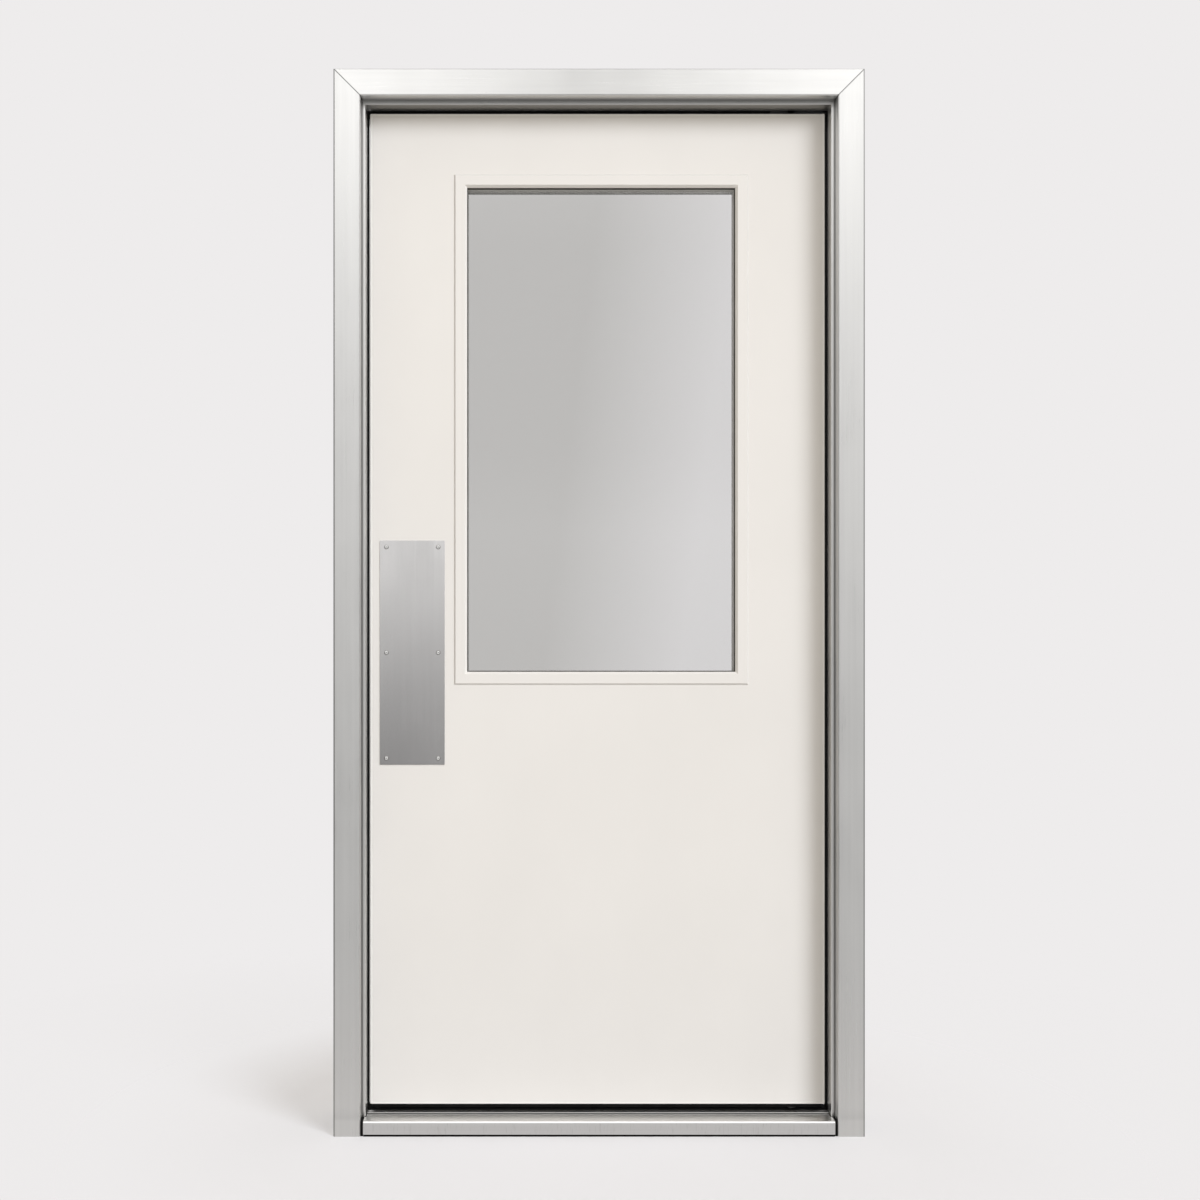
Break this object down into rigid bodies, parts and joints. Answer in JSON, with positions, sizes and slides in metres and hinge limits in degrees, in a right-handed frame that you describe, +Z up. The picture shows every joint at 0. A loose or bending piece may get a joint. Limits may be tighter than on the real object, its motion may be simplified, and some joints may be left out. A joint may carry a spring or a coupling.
{
  "type": "double swing door",
  "caption": "Single-leaf swing door that opens both ways on a vertical pivot, with a tall vision panel, push plates and a deep mitred metal frame with a threshold.",
  "frame": {"origin": "On the floor, in the middle of the doorway, half way through the depth of the frame, on the underside of the threshold's bedding strip.", "axes": "+Z up; X runs across the doorway, with the pivoted edge of the leaf at +X; Y runs through the doorway, with the front, as seen in the picture, at -Y."},
  "size_m": [1.045, 0.168, 2.1],
  "materials": {
    "satin_steel": "stainless sheet, satin brushed along each piece",
    "plate_steel": "stainless sheet, satin brushed upwards, worn by hands",
    "pivot_steel": "turned and milled steel",
    "threshold_aluminium": "extruded, satin anodised, lightly scuffed",
    "black_rubber": "matt black seal",
    "glazing_rubber": "dark grey glazing seal",
    "leaf_laminate": "off-white glass-fibre laminate, satin",
    "bead_laminate": "off-white moulded bead, satin",
    "core_foam": "rigid foam, hidden",
    "vision_glass": "clear safety glass"
  },
  "bodies": {
    "frame": {"front_casing_left": "satin_steel", "front_casing_right": "satin_steel", "front_casing_head": "satin_steel", "rear_casing_left": "satin_steel", "rear_casing_right": "satin_steel", "rear_casing_head": "satin_steel", "jamb_left": "satin_steel", "jamb_right": "satin_steel", "jamb_head": "satin_steel", "seal_left": "black_rubber", "seal_right": "black_rubber", "seal_head": "black_rubber", "top_pivot_plate": "pivot_steel", "threshold": "threshold_aluminium", "threshold_saddle": "threshold_aluminium", "saddle_strip": "black_rubber", "threshold_bedding": "black_rubber", "floor_pivot_box": "pivot_steel"},
    "leaf": {"toe_side_core": "core_foam", "heel_side_core": "core_foam", "upper_core": "core_foam", "lower_core": "core_foam", "front_skin": "leaf_laminate", "rear_skin": "leaf_laminate", "toe_edge": "leaf_laminate", "heel_edge": "leaf_laminate", "top_rail": "leaf_laminate", "bottom_rail": "leaf_laminate", "bottom_sweep": "black_rubber", "top_pivot_socket": "pivot_steel", "bottom_pivot_arm": "pivot_steel", "front_bead_left": "bead_laminate", "front_bead_right": "bead_laminate", "front_bead_bottom": "bead_laminate", "front_bead_top": "bead_laminate", "rear_bead_left": "bead_laminate", "rear_bead_right": "bead_laminate", "rear_bead_bottom": "bead_laminate", "rear_bead_top": "bead_laminate", "front_gasket": "glazing_rubber", "rear_gasket": "glazing_rubber", "vision_glass": "vision_glass", "front_push_plate": "plate_steel", "rear_push_plate": "plate_steel"}
  },
  "joints": [
    {"name": "leaf_swing", "type": "hinge", "parent": "frame", "child": "leaf", "pos_m": [0.393, 0, 1], "axis": [0, 0, 1], "range_deg": [-90, 90], "stiffness_Nm_per_rad": 8}
  ]
}
